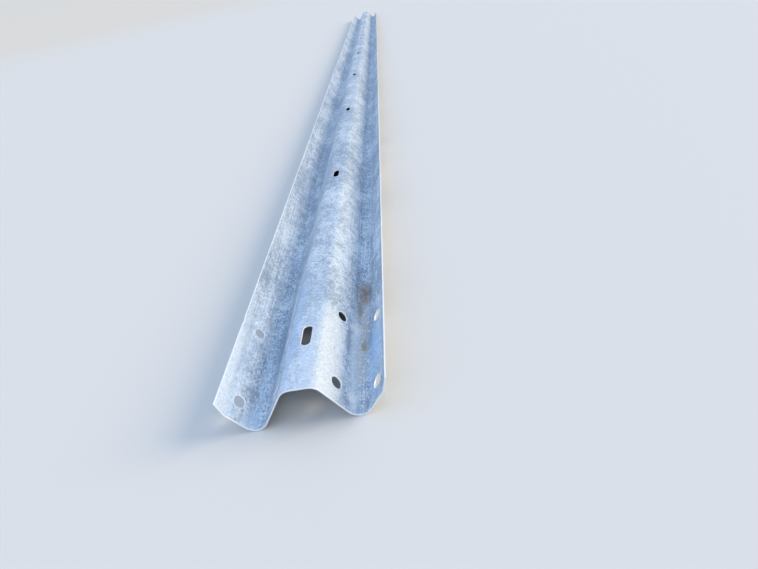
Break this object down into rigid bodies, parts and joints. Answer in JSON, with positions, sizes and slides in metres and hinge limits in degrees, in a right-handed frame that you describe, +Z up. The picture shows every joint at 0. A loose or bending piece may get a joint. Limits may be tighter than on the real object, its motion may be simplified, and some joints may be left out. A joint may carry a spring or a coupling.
{
  "type": "w-beam guardrail rail",
  "caption": "Long roll-formed galvanised steel guardrail rail of W section, with post bolt slots along its centre flat and splice bolt slots in its sloped faces at both ends.",
  "frame": {"origin": "middle of the rail's length and width, on the plane that the ridges rest on", "axes": "+Y along the rail, +Z up from the ridges to the centre flat, +X across the rail"},
  "size_m": [0.3112, 7.9376, 0.0825],
  "materials": {
    "galvanised_steel": "hot-dip galvanised, weathered, with dirt stains"
  },
  "bodies": {
    "root": {"w_beam_rail": "galvanised_steel"}
  },
  "joints": []
}
